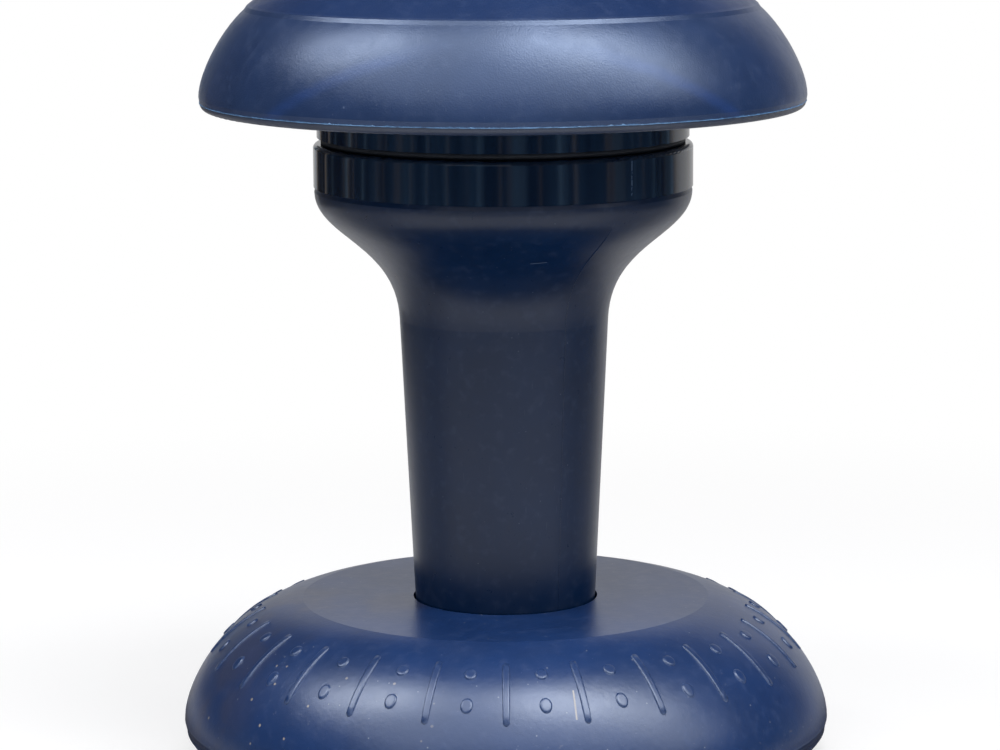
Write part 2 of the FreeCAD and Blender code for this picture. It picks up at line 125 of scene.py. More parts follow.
class Shader:
    """Builds one node tree from expressions."""

    def __init__(self, tree):
        self.tree = tree
        tree.nodes.clear()

    def node(self, kind, settings=None, sockets=None):
        made = self.tree.nodes.new(kind)
        for name, value in (settings or {}).items():
            setattr(made, name, value)
        for key, value in (sockets or {}).items():
            if isinstance(value, Wire):
                self.tree.links.new(value.socket, made.inputs[key])
            else:
                made.inputs[key].default_value = value
        return made

    def out(self, kind, settings=None, sockets=None, output=0):
        return Wire(self, self.node(kind, settings, sockets).outputs[output])

    def math(self, operation, *values):
        return self.out("ShaderNodeMath", {"operation": operation}, dict(enumerate(values)))

    def vector(self, operation, *values, output=0):
        return self.out("ShaderNodeVectorMath", {"operation": operation}, dict(enumerate(values)), output)

    def smooth(self, value, low, high):
        """0 at low, 1 at high, with a soft step between them."""
        settings = {"interpolation_type": "SMOOTHSTEP"}
        return self.out("ShaderNodeMapRange", settings, {"Value": value, "From Min": low, "From Max": high})

    def band(self, value, middle, half, soft):
        """1 within half of middle, falling to 0 over soft."""
        return 1 - self.smooth(self.math("ABSOLUTE", value - middle), half, half + soft)

    def between(self, value, low, high, soft):
        """1 from low to high, with a soft step at both ends."""
        started = self.smooth(value, low - soft, low + soft)
        return started * (1 - self.smooth(value, high - soft, high + soft))

    def mix(self, factor, first, second):
        """Colour between two colours."""
        settings = {"data_type": "RGBA", "clamp_factor": True}
        return self.out("ShaderNodeMix", settings, {0: factor, 6: first, 7: second}, 2)

    def noise(self, place, scale, detail=2.0, roughness=0.5):
        sockets = {"Vector": place, "Scale": scale, "Detail": detail, "Roughness": roughness}
        return self.out("ShaderNodeTexNoise", {}, sockets)

    def line_noise(self, value, scale, detail=2.0):
        """Noise along one number."""
        settings = {"noise_dimensions": "1D"}
        return self.out("ShaderNodeTexNoise", settings, {"W": value, "Scale": scale, "Detail": detail})

    def stretched(self, place, stretch):
        """The place with its axes scaled, which draws a pattern out along the smallest."""
        return self.vector("MULTIPLY", place, stretch)

    def specks(self, place, scale, size, share):
        """Small dots, in that share of a grid of loose cells."""
        cells = self.node("ShaderNodeTexVoronoi", {"feature": "F1"}, {"Vector": place, "Scale": scale})
        near = 1 - self.smooth(Wire(self, cells.outputs["Distance"]), size * 0.5, size)
        pick = self.out("ShaderNodeSeparateColor", {}, {0: Wire(self, cells.outputs["Color"])})
        return near * (pick < share)

    def scratch(self, place, start, end, width):
        """A straight mark between two points."""
        along = Vector(end) - Vector(start)
        from_start = self.vector("SUBTRACT", place, tuple(start))
        share = self.vector("DOT_PRODUCT", from_start, tuple(along / along.length_squared), output=1)
        held = self.out("ShaderNodeClamp", {}, {0: share})
        nearest = self.out(
            "ShaderNodeVectorMath", {"operation": "SCALE"}, {0: tuple(along), "Scale": held}
        )
        away = self.vector("SUBTRACT", from_start, nearest)
        distance = self.vector("LENGTH", away, output=1)
        return 1 - self.smooth(distance, width * 0.4, width)

    def bump(self, height, strength, depth, normal=None):
        sockets = {"Height": height, "Strength": strength, "Distance": depth}
        if normal is not None:
            sockets["Normal"] = normal
        return self.out("ShaderNodeBump", {}, sockets)

    def place(self):
        """The surface point in the stool's own frame: the vector, x, y, z and distance from the axis."""
        point = self.out("ShaderNodeTexCoord", output=3)
        parts = self.node("ShaderNodeSeparateXYZ", {}, {0: point})
        x, y, z = [Wire(self, output) for output in parts.outputs]
        flat = self.vector("MULTIPLY", point, (1, 1, 0))
        return point, x, y, z, self.vector("LENGTH", flat, output=1)

    def surface(self, sockets, dull=None):
        """The finished surface, which turns into a less shiny one by the share in dull."""
        shaded = self.out("ShaderNodeBsdfPrincipled", {}, sockets)
        if dull is not None:
            other = self.out("ShaderNodeBsdfPrincipled", {}, {**sockets, "IOR": DULL_IOR})
            shaded = self.out("ShaderNodeMixShader", {}, {0: dull, 1: shaded, 2: other})
        self.node("ShaderNodeOutputMaterial", {}, {"Surface": shaded})


def new_material(name):
    material = bpy.data.materials.new(name)
    material.use_nodes = True
    return material, Shader(material.node_tree)


def opaque(colour):
    return (*colour, 1.0)


def blend(first, second, share):
    """Colour between two, worked out in Python."""
    return tuple(a + (b - a) * share for a, b in zip(first, second))


def dress(material, *names):
    """Give CAD nodes a material in all their slots."""
    for name in names:
        for slot in NODES[name].material_slots:
            slot.material = material


# Geometry helpers

class Skin:
    """The outer surface of a CAD node, found by rays."""

    def __init__(self, name):
        mesh = NODES[name].data
        points = [vertex.co.copy() for vertex in mesh.vertices]
        faces = [tuple(polygon.vertices) for polygon in mesh.polygons]
        self.tree = BVHTree.FromPolygons(points, faces)

    def above(self, radius, angle):
        """Point and normal under a ray that comes straight down. Angle 0 faces the viewer."""
        start = around(radius, angle, RAY_REACH)
        return self.tree.ray_cast(start, Vector((0, 0, -1)))[:2]

    def beside(self, height, angle):
        """Point and normal at a height, met by a ray that comes in towards the axis."""
        start = around(RAY_REACH, angle, height)
        inward = Vector((-start.x, -start.y, 0)).normalized()
        return self.tree.ray_cast(start, inward)[:2]


def around(radius, angle, height):
    """Point at an angle round the axis: 0 degrees faces the viewer and 90 is on the right."""
    turn = math.radians(angle)
    return Vector((radius * math.sin(turn), -radius * math.cos(turn), height))


def new_piece(name, build, material, body):
    """Make a smooth mesh piece with a bmesh builder, and let it ride on a body."""
    mesh = bpy.data.meshes.new(name)
    shape = bmesh.new()
    build(shape)
    bmesh.ops.recalc_face_normals(shape, faces=shape.faces)
    shape.to_mesh(mesh)
    shape.free()
    mesh.shade_smooth()
    mesh.materials.append(material)
    piece = bpy.data.objects.new(name, mesh)
    bpy.context.scene.collection.objects.link(piece)
    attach(piece, body)


def lattice(shape, rows, closed=False):
    """Join rows of vertices with quads."""
    made = [[shape.verts.new(point) for point in row] for row in rows]
    for lower, upper in zip(made, made[1:]):
        for i in range(len(lower) - (0 if closed else 1)):
            j = (i + 1) % len(lower)
            shape.faces.new((lower[i], lower[j], upper[j], upper[i]))
    return made


def fade(value, low, high):
    """1 up to low, 0 from high on, with a soft step between them."""
    share = max(0.0, min(1.0, (value - low) / (high - low)))
    return 1 - share * share * (3 - 2 * share)


# Settings

class StageSettings(PropertyGroup):
    camera_distance: FloatProperty(name="Camera distance", description="From the axis to the camera, level",
                                   default=2.0414, unit="LENGTH")
    camera_height: FloatProperty(name="Camera height", description="Above the floor",
                                 default=0.5557, unit="LENGTH")
    camera_aside: FloatProperty(name="Camera aside", description="To the right of the axis",
                                default=-0.0024, unit="LENGTH")
    camera_pitch: FloatProperty(name="Pitch", description="Downward tilt of the view",
                                default=math.radians(9.422), subtype="ANGLE")
    camera_roll: FloatProperty(name="Roll", description="Clockwise turn of the camera",
                               default=math.radians(0.3), subtype="ANGLE")
    lens: FloatProperty(name="Lens", description="Focal length on a 36 mm sensor, in millimetres",
                        default=132.4)
    left_radiance: FloatProperty(name="Left light", description="Brightness of the left overhead lamp",
                                 default=7.0)
    right_radiance: FloatProperty(name="Right light", description="Brightness of the right overhead lamp",
                                  default=7.6)
    panel_radiance: FloatProperty(name="Panel",
                                  description="Brightness of the ceiling panel, side lamps and window",
                                  default=1.6)
    backdrop: FloatProperty(name="Backdrop", description="Brightness of the backdrop in reflections",
                            default=0.50)
    room: FloatProperty(name="Room", description="Brightness of the walls at the sides", default=0.04)
    front: FloatProperty(name="Front", description="Brightness low behind the camera", default=0.40)


class SeatSettings(PropertyGroup):
    colour: FloatVectorProperty(name="Colour", description="Plastic of the seat",
                                subtype="COLOR", default=(0.014, 0.034, 0.105))
    worn: FloatVectorProperty(name="Worn colour", description="Scuffed edge of the rim",
                              subtype="COLOR", default=(0.10, 0.24, 0.46))
    sheen: FloatVectorProperty(name="Sheen", description="Tint of the reflection",
                               subtype="COLOR", default=(0.60, 0.74, 1.0))
    roughness: FloatProperty(name="Roughness", description="Of the satin surface",
                             default=0.34, subtype="FACTOR")
    flash_size: FloatProperty(name="Rim bead", description="Radius of the bead along the rim's joint",
                              default=0.00028, unit="LENGTH")


class CouplerSettings(PropertyGroup):
    colour: FloatVectorProperty(name="Colour", description="Glossy plastic of the coupler",
                                subtype="COLOR", default=(0.0020, 0.0090, 0.028))
    roughness: FloatProperty(name="Roughness", description="Of the glossy surface",
                             default=0.09, subtype="FACTOR")
    # Inset of the dark band that fills the gap between collar and ring, as painted shade.
    gap_shade_inset: FloatProperty(name="Washer inset",
                                description="From the collar's side to the dark washer below it",
                                default=0.0022, unit="LENGTH")


class ColumnSettings(PropertyGroup):
    colour: FloatVectorProperty(name="Colour", description="Plastic of the column",
                                subtype="COLOR", default=(0.0008, 0.0145, 0.055))
    roughness: FloatProperty(name="Roughness", description="Of the satin surface",
                             default=0.30, subtype="FACTOR")
    parting_angle: FloatProperty(name="Parting line",
                                 description="Angle of the mould's joint, right of the front",
                                 default=math.radians(35.0), subtype="ANGLE")
    parting_width: FloatProperty(name="Parting width", description="Width of the raised line",
                                 default=0.0006, unit="LENGTH")


class BaseSettings(PropertyGroup):
    colour: FloatVectorProperty(name="Colour", description="Plastic of the base",
                                subtype="COLOR", default=(0.0085, 0.0360, 0.140))
    sheen: FloatVectorProperty(name="Sheen", description="Tint of the reflection",
                               subtype="COLOR", default=(0.80, 0.88, 1.0))
    roughness: FloatProperty(name="Roughness", description="Of the satin surface",
                             default=0.32, subtype="FACTOR")
    grip_count: IntProperty(name="Grips", description="Number of raised bars round the shoulder", default=24)
    bar_inner: FloatProperty(name="Bar start", description="Radius where a bar starts",
                             default=0.136, unit="LENGTH")
    bar_outer: FloatProperty(name="Bar end", description="Radius where a bar ends",
                             default=0.168, unit="LENGTH")
    bar_width: FloatProperty(name="Bar width", description="Across a bar", default=0.0044, unit="LENGTH")
    grip_height: FloatProperty(name="Grip height", description="Above the shoulder",
                               default=0.0009, unit="LENGTH")
    stud_radius: FloatProperty(name="Stud radius", description="Of each round stud",
                               default=0.0036, unit="LENGTH")


class UndersideSettings(PropertyGroup):
    rubber: FloatVectorProperty(name="Rubber", description="Colour of the outsole",
                                subtype="COLOR", default=(0.020, 0.022, 0.027))
    steel: FloatVectorProperty(name="Steel", description="Colour of the screws",
                               subtype="COLOR", default=(0.56, 0.56, 0.55))
    cap_radius: FloatProperty(name="Head radius", description="Of the domed screw heads",
                              default=0.0041, unit="LENGTH")
    cap_rise: FloatProperty(name="Head dome", description="Height of the dome",
                            default=0.0009, unit="LENGTH")


class StoolSettings(PropertyGroup):
    stage: PointerProperty(type=StageSettings)
    seat: PointerProperty(type=SeatSettings)
    coupler: PointerProperty(type=CouplerSettings)
    column: PointerProperty(type=ColumnSettings)
    base: PointerProperty(type=BaseSettings)
    underside: PointerProperty(type=UndersideSettings)


# Materials

def satin_plastic(name, colour, roughness, marks=None, attribute=None, sheen=(1.0, 1.0, 1.0),
                  ior=PLASTIC_IOR, matt_within=None):
    """Satin moulded plastic: mottled, finely grained and handled, with extra marks from a function.

    An attribute gives the share of rubbed wear and painted edge highlight, and the surface is duller within
    a given radius.
    """
    material, shader = new_material(name)
    point, x, y, z, radius = shader.place()
    cloud = shader.noise(point, 22.0, 3.0)
    mottle = shader.noise(point, 160.0, 3.0)
    grain = shader.noise(point, 1500.0, 2.0, 0.6)
    pale = blend(colour, (0.30, 0.36, 0.50), 0.07)
    deep = tuple(0.82 * part for part in colour)
    tone = shader.mix(shader.smooth(cloud, 0.3, 0.7), opaque(deep), opaque(colour))
    tone = shader.mix(shader.smooth(mottle, 0.5, 0.8) * 0.5, tone, opaque(pale))
    hair = shader.noise(shader.stretched(point, (900.0, 900.0, 90.0)), 1.0, 1.0)
    hair = shader.smooth(hair, 0.70, 0.82) * shader.smooth(cloud, 0.45, 0.65)
    dust = shader.specks(point, 260.0, 0.10, 0.10)
    tone = shader.mix(hair * 0.16 + dust * 0.35, tone, opaque(blend(colour, (0.4, 0.45, 0.55), 0.5)))
    rough = roughness + (mottle - 0.5) * 0.10 + hair * 0.10 + (grain - 0.5) * 0.05
    height = grain * 0.5 + mottle * 0.5
    if marks is not None:
        tone, rough, height = marks(shader, (point, x, y, z, radius), tone, rough, height)
    if attribute is not None:
        worn = shader.out("ShaderNodeAttribute", {"attribute_name": attribute}, {}, 2)
        rubbed = worn * shader.smooth(shader.noise(point, 420.0, 2.0), 0.35, 0.65)
        tone = shader.mix(rubbed * 0.30, tone, opaque(blend(colour, (0.35, 0.45, 0.62), 0.6)))
        rough = rough + rubbed * 0.08
    normal = shader.bump(height, 0.14, 0.0004)
    sockets = {"Base Color": tone, "Roughness": rough, "Normal": normal}
    matt = None
    if matt_within is not None:
        matt = (1 - shader.smooth(radius, matt_within - 0.002, matt_within)) * 0.75
    shader.surface({**sockets, "IOR": ior, "Specular Tint": opaque(sheen)}, matt)
    return material


def seat_marks(worn):
    """Marks of the seat: a pebbled grain, painted shade on the crown, a faint arch of painted reflection, a
    rubbed line at the rim and a few nicks.
    """
    def add(shader, place, tone, rough, height):
        point, x, y, z, radius = place
        crown = 1 - shader.smooth(radius, CREASE_RADIUS - 0.0006, CREASE_RADIUS)
        pebble = shader.noise(point, 1050.0, 2.0, 0.5)
        height = height + (1.7 + crown * 0.6) * pebble
        # Painted shade: the crown, which faces up, is darkened.
        tone = shader.mix(crown * 0.30, tone, opaque((0.006, 0.020, 0.085)))
        # Painted reflection: a faint, more saturated arch along the lower edge of the seat's highlights.
        bearing = shader.math("ARCTAN2", x, 0 - y) * (1.0 / ARCH_SPREAD)
        arch = RIM_HEIGHT + ARCH_FOOT + (1 - bearing * bearing) * ARCH_RISE
        painted_arch = shader.band(z - arch, 0.0, 0.0006, 0.0055) * (1 - crown)
        painted_arch = painted_arch * shader.smooth(shader.math("ABSOLUTE", bearing), 0.15, 0.75)
        ripple = shader.noise(shader.stretched(point, (30.0, 30.0, 260.0)), 1.0, 2.0)
        tone = shader.mix(painted_arch * (0.06 + ripple * 0.45), tone, opaque((0.018, 0.058, 0.240)))
        cloudy = shader.smooth(shader.noise(point, 75.0, 4.0, 0.65), 0.42, 0.68)
        rough = rough + (cloudy - 0.5) * 0.05
        chips = shader.noise(shader.stretched(point, (1.0, 1.0, 0.4)), 190.0, 3.0, 0.7)
        edge = 1 - shader.smooth(z + chips * -0.0022, RIM_HEIGHT - 0.0013, RIM_HEIGHT - 0.0003)
        tone = shader.mix(edge * 0.8, tone, opaque(worn))
        nick = shader.specks(point, 60.0, 0.055, 0.10)
        tone = shader.mix(nick * 0.55, tone, opaque((0.16, 0.22, 0.36)))
        return tone, rough + edge * 0.12 + nick * 0.1, height - nick * 0.6
    return add


def base_marks(skin):
    """Marks of the base: specks and scuffs, brown rubs on the left, a browner far left, painted highlight
    lines with some wear along the lip, a cream scratch.
    """
    def add(shader, place, tone, rough, height):
        point, x, y, z = place[:4]
        fleck = shader.specks(point, 75.0, 0.055, 0.40)
        fine = shader.specks(point, 190.0, 0.11, 0.22)
        bearing = shader.math("ARCTAN2", x, 0 - y)
        spot = shader.noise(point, 26.0, 2.0)
        rubbed = shader.between(bearing, -1.35, -0.26, 0.12) * (1 - shader.smooth(z, 0.068, 0.084))
        chips = shader.specks(point, 150.0, 0.16, 0.40) * rubbed * shader.smooth(spot, 0.42, 0.52)
        scuff = shader.noise(shader.stretched(point, (260.0, 160.0, 420.0)), 1.0, 3.0, 0.7)
        patch = shader.smooth(shader.noise(point, 14.0, 2.0), 0.48, 0.62)
        scuff = shader.smooth(scuff, 0.62, 0.72) * patch
        tone = shader.mix(scuff * 0.26, tone, opaque((0.14, 0.19, 0.32)))
        tone = shader.mix(fleck * 0.6 + fine * 0.5, tone, opaque((0.30, 0.33, 0.38)))
        tone = shader.mix(chips * 0.8, tone, opaque((0.42, 0.37, 0.30)))
        # Browner towards the far left edge of the base.
        far_left_tint = shader.between(bearing, -1.75, -0.95, 0.15)
        far_left_tint = far_left_tint * shader.smooth(shader.noise(point, 30.0, 4.0), 0.42, 0.62)
        tone = shader.mix(far_left_tint * 0.26, tone, opaque((0.085, 0.068, 0.062)))
        stops = [skin.above(0.154 + 0.003 * i, 13.3 - 0.1 * i)[0] for i in range(5)]
        pieces = [shader.scratch(point, start, end, 0.0006) for start, end in zip(stops, stops[1:])]
        cream = pieces[0]
        for piece in pieces[1:]:
            cream = shader.math("MAXIMUM", cream, piece)
        # Painted highlights: two pale lines along the lip, with some rubbed wear.
        lip = shader.band(z - BASE_LIP, 0.0016, 0.0002, 0.0006)
        lip = lip + shader.band(z - BASE_LIP, 0.0042, 0.0001, 0.0005)
        tone = shader.mix(lip * 0.35, tone, opaque((0.10, 0.13, 0.19)))
        brown = patch * shader.smooth(scuff, 0.3, 0.8) * shader.smooth(z, 0.060, 0.035)
        tone = shader.mix(brown * 0.4, tone, opaque((0.16, 0.12, 0.10)))
        tone = shader.mix(cream * 0.8, tone, opaque((0.50, 0.46, 0.42)))
        peel = shader.noise(point, 360.0, 2.0)
        height = height + peel * 1.2 + fleck * 0.5 - cream * 0.5
        return tone, rough + scuff * 0.10 + cream * 0.2, height
    return add


def column_marks(skin):
    """The column's one mark, a short scratch under its flare."""
    def add(shader, place, tone, rough, height):
        point = place[0]
        start, end = skin.beside(0.2905, 10.5)[0], skin.beside(0.2910, 16.5)[0]
        nick = shader.scratch(point, start, end, 0.0005)
        tone = shader.mix(nick * 0.6, tone, opaque((0.10, 0.14, 0.22)))
        return tone, rough + nick * 0.1, height - nick * 0.5
    return add


def gloss_plastic(name, colour, roughness, skin):
    """Glossy moulded plastic with faint upright streaks that are rougher and carry painted reflections in
    their tone, and a fine scratch.
    """
    material, shader = new_material(name)
    point = shader.place()[0]
    upright = shader.noise(shader.stretched(point, (420.0, 420.0, 6.0)), 1.0, 3.0, 0.6)
    broad = shader.noise(shader.stretched(point, (60.0, 60.0, 2.0)), 1.0, 2.0)
    ripple = shader.noise(point, 90.0, 2.0)
    # Painted reflections: lighter and darker upright bands, as if from upright things round the room.
    tone = shader.mix(shader.smooth(broad, 0.35, 0.7), opaque(colour),
                      opaque(blend(colour, (0.02, 0.05, 0.10), 0.4)))
    streak = shader.smooth(upright, 0.60, 0.80)
    tone = shader.mix(streak * 0.15, tone, opaque((0.03, 0.05, 0.08)))
    lowest, highest = skin.beside(COLUMN_TOP + 0.003, 40.6)[0], skin.beside(RING_TOP - 0.003, 40.6)[0]
    line = shader.scratch(point, lowest, highest, 0.0007)
    line = line * shader.smooth(shader.noise(point, 500.0, 2.0), 0.35, 0.55)
    tone = shader.mix(line * 0.5, tone, opaque((0.08, 0.15, 0.28)))
    rough = roughness + streak * 0.06 + line * 0.25 + (ripple - 0.5) * 0.04
    normal = shader.bump(ripple + upright * 0.25, 0.05, 0.0005)
    shader.surface({"Base Color": tone, "Roughness": rough, "Normal": normal})
    return material


def rubber(name, colour):
    """Dull moulded rubber with a fine pebble grain and dust in its low places."""
    material, shader = new_material(name)
    point = shader.place()[0]
    pebble = shader.out("ShaderNodeTexVoronoi", {"feature": "SMOOTH_F1"}, {"Vector": point, "Scale": 700.0})
    cloud = shader.noise(point, 30.0, 4.0)
    dusty = shader.smooth(cloud, 0.45, 0.75)
    tone = shader.mix(dusty * 0.5, opaque(colour), opaque(blend(colour, (0.16, 0.15, 0.14), 0.4)))
    normal = shader.bump(pebble, 0.35, 0.0003)
    shader.surface({"Base Color": tone, "Roughness": 0.74 + dusty * 0.12, "Normal": normal})
    return material


def inner_plastic(name):
    """Dark moulded plastic of the parts inside, with a matt bloom."""
    material, shader = new_material(name)
    point = shader.place()[0]
    bloom = shader.noise(point, 60.0, 4.0)
    grain = shader.noise(point, 1200.0, 2.0)
    tone = shader.mix(bloom, opaque((0.020, 0.024, 0.034)), opaque((0.036, 0.042, 0.056)))
    rough = 0.5 + bloom * 0.15
    normal = shader.bump(grain, 0.2, 0.0003)
    shader.surface({"Base Color": tone, "Roughness": rough, "Normal": normal})
    return material


def zinc_steel(name, colour):
    """Zinc-plated steel: bright, faintly cloudy and finely brushed."""
    material, shader = new_material(name)
    point = shader.place()[0]
    cloud = shader.noise(point, 380.0, 3.0)
    brush = shader.noise(shader.stretched(point, (3000.0, 3000.0, 400.0)), 1.0, 2.0)
    tone = shader.mix(cloud, opaque(colour), opaque(blend(colour, (0.36, 0.35, 0.30), 0.6)))
    rough = 0.28 + (cloud - 0.5) * 0.2 + brush * 0.08
    normal = shader.bump(brush, 0.1, 0.0001)
    shader.surface({"Base Color": tone, "Metallic": 1.0, "Roughness": rough, "Normal": normal})
    return material


# Pieces

def grip_point(skin, radius, angle, rise):
    """Point at a height above the shoulder, square to it."""
    place, normal = skin.above(radius, angle)
    return place + normal * rise


def raised_pad(shape, skin, outline, height):
    """A low rounded pad whose outline function gives radius and angle at a share of the way out."""
    layers = shape.verts.layers.float
    worn = layers["worn"] if "worn" in layers else layers.new("worn")
    steps, turns, sink = 6, 40, 0.0004
    rows = []
    wears = []
    for step in range(1, steps + 1):
        share = step / steps
        rise = height * math.sqrt(max(0.0, 1 - share ** 6)) - (sink if step == steps else 0.0)
        rows.append([grip_point(skin, *outline(share, 360.0 * i / turns), rise) for i in range(turns)])
        # Paler towards the pad's rim: rubbed wear, and partly a painted edge highlight.
        wears.append(share ** 3)
    made = lattice(shape, rows, closed=True)
    centre = shape.verts.new(grip_point(skin, *outline(0.0, 0.0), height))
    for i in range(turns):
        shape.faces.new((centre, made[0][i], made[0][(i + 1) % turns]))
    for row, wear in zip(made, wears):
        for vertex in row:
            vertex[worn] = wear
    centre[worn] = 0.0


def bar_outline(inner, outer, width, angle):
    """Outline of a round-ended bar along a radius."""
    middle = (inner + outer) / 2
    half = (outer - inner - width) / 2

    def outline(share, turn):
        across = math.sin(math.radians(turn)) * width / 2 * share
        along = math.cos(math.radians(turn))
        reach = along * width / 2 * share + half * max(-1.0, min(1.0, along * 2.2)) * min(1.0, share * 1.2)
        radius = middle + reach
        return radius, angle + math.degrees(across / radius)
    return outline


def stud_outline(at_radius, size, angle):
    """Outline of a round stud."""
    def outline(share, turn):
        radius = at_radius + math.cos(math.radians(turn)) * size * share
        across = math.sin(math.radians(turn)) * size * share
        return radius, angle + math.degrees(across / radius)
    return outline


def grip_bars(settings, skin):
    """Raised bars round the shoulder of the base."""
    def build(shape):
        for i in range(settings.grip_count):
            angle = 360.0 / settings.grip_count * i
            outline = bar_outline(settings.bar_inner, settings.bar_outer, settings.bar_width, angle)
            raised_pad(shape, skin, outline, settings.grip_height)
    return build


def grip_studs(settings, skin):
    """Two round studs between each pair of bars."""
    quarter = (settings.bar_outer - settings.bar_inner) / 4

    def build(shape):
        for i in range(settings.grip_count):
            angle = 360.0 / settings.grip_count * (i + 0.5)
            for radius in (settings.bar_inner + quarter, settings.bar_outer - quarter):
                outline = stud_outline(radius, settings.stud_radius, angle)
                raised_pad(shape, skin, outline, settings.grip_height)
    return build


def edge_bead(radius, height, size, chip, seed):
    """A thin, chipped bead of flash round an edge."""
    def build(shape):
        turns, sides = 1440, 6
        rows = []
        for j in range(sides):
            corner = 2 * math.pi * j / sides
            row = []
            for i in range(turns):
                angle = 360.0 / turns * i
                probe = around(1.0, angle, seed)
                wave = noise.noise(probe * 9.0) * 0.5 + noise.noise(probe * 47.0) * 0.5
                spike = max(0.0, noise.noise(probe * 80.0 + Vector((0, 0, 9))) - 0.35) * chip
                thick = size * max(0.12, 0.75 + wave * 1.3)
                lift = spike if math.sin(corner) > 0.5 else 0.0
                reach = radius + math.cos(corner) * thick
                row.append(around(reach, angle, height + math.sin(corner) * thick + lift))
            rows.append(row)
        lattice(shape, rows, closed=True)
        bmesh.ops.bridge_loops(shape, edges=[e for e in shape.edges if e.is_boundary])
    return build


def plain_band(outer, inner, low, high):
    """A flat ring with a rectangular section."""
    def build(shape):
        turns = 120
        angles = [360.0 / turns * i for i in range(turns)]
        corners = ((outer, low), (outer, high), (inner, high), (inner, low))
        rows = [[around(radius, angle, height) for angle in angles] for radius, height in corners]
        made = lattice(shape, rows, closed=True)
        last, first = made[3], made[0]
        for i in range(turns):
            j = (i + 1) % turns
            shape.faces.new((last[i], last[j], first[j], first[i]))
    return build


def parting_line(skin, angle, width, low, high):
    """A hair of raised flash up the column, along one joint of its mould."""
    profile = ((-1.0, -0.0001), (-0.5, 0.00016), (0.0, 0.00026), (0.5, 0.00016), (1.0, -0.0001))

    def build(shape):
        rows = []
        steps = 160
        for i in range(steps + 1):
            height = low + (high - low) * i / steps
            wander = noise.noise(Vector((height * 40.0, angle, 0))) * 0.0002
            middle = skin.beside(height, angle)[0]
            reach = Vector((middle.x, middle.y)).length
            row = []
            for side, rise in profile:
                turn = math.degrees((side * width / 2 + wander) / reach)
                place, normal = skin.beside(height, angle + turn)
                row.append(place + normal * rise)
            rows.append(row)
        lattice(shape, rows)
    return build


def screw_caps(skin, size, rise):
    """Domed heads with a cross recess, under the flat heads of screws that are driven in from below."""
    def build(shape):
        rings, turns = 24, 96
        for k in range(SCREW_COUNT):
            foot = around(SCREW_CIRCLE, FIRST_SCREW + 360.0 / SCREW_COUNT * k, 0.0)
            head = skin.tree.ray_cast(foot, Vector((0, 0, 1)))[0]
            rows = []
            for step in range(1, rings + 1):
                share = step / rings
                row = []
                for i in range(turns):
                    turn = 2 * math.pi * i / turns
                    x, y = math.cos(turn) * share, math.sin(turn) * share
                    narrow = fade(min(abs(x), abs(y)), 0.10, 0.17)
                    length = fade(max(abs(x), abs(y)), 0.52, 0.62)
                    dome = rise * (1 - 0.7 * share ** 4) - rise * 0.7 * narrow * length
                    row.append(head + Vector((x * size, y * size, -dome)))
                rows.append(row)
            rows.append([point + Vector((0, 0, 0.4 * rise)) for point in rows[-1]])
            made = lattice(shape, rows, closed=True)
            middle = shape.verts.new(head + Vector((0, 0, -0.3 * rise)))
            for i in range(turns):
                shape.faces.new((middle, made[0][i], made[0][(i + 1) % turns]))
    return build


# Studio

def soft_lamp(name, place, width, depth, radiance, turn=0.0):
    """An area lamp that faces the floor with a given brightness, unseen by the camera."""
    light = bpy.data.lights.new(name, "AREA")
    light.shape = "RECTANGLE"
    light.size = width
    light.size_y = depth
    light.energy = radiance * math.pi * width * depth
    lamp = bpy.data.objects.new(name, light)
    lamp.location = place
    lamp.rotation_euler = (0.0, 0.0, math.radians(turn))
    lamp.visible_camera = False
    bpy.context.scene.collection.objects.link(lamp)


def room_things(shader, bearing):
    """Brightness and tint of the uneven things round the studio, which show as upright streaks in gloss."""
    broad = shader.smooth(shader.line_noise(bearing + 9.3, 2.6), 0.50, 0.70)
    narrow = shader.smooth(shader.line_noise(bearing + 4.1, 11.0, 3.0), 0.54, 0.72)
    warm = shader.smooth(shader.line_noise(bearing + 2.7, 5.0), 0.50, 0.56)
    tint = shader.mix(warm, opaque((0.45, 0.72, 1.0)), opaque((1.0, 0.84, 0.68)))
    return broad * 0.26 + narrow * 0.40, tint


# Operators

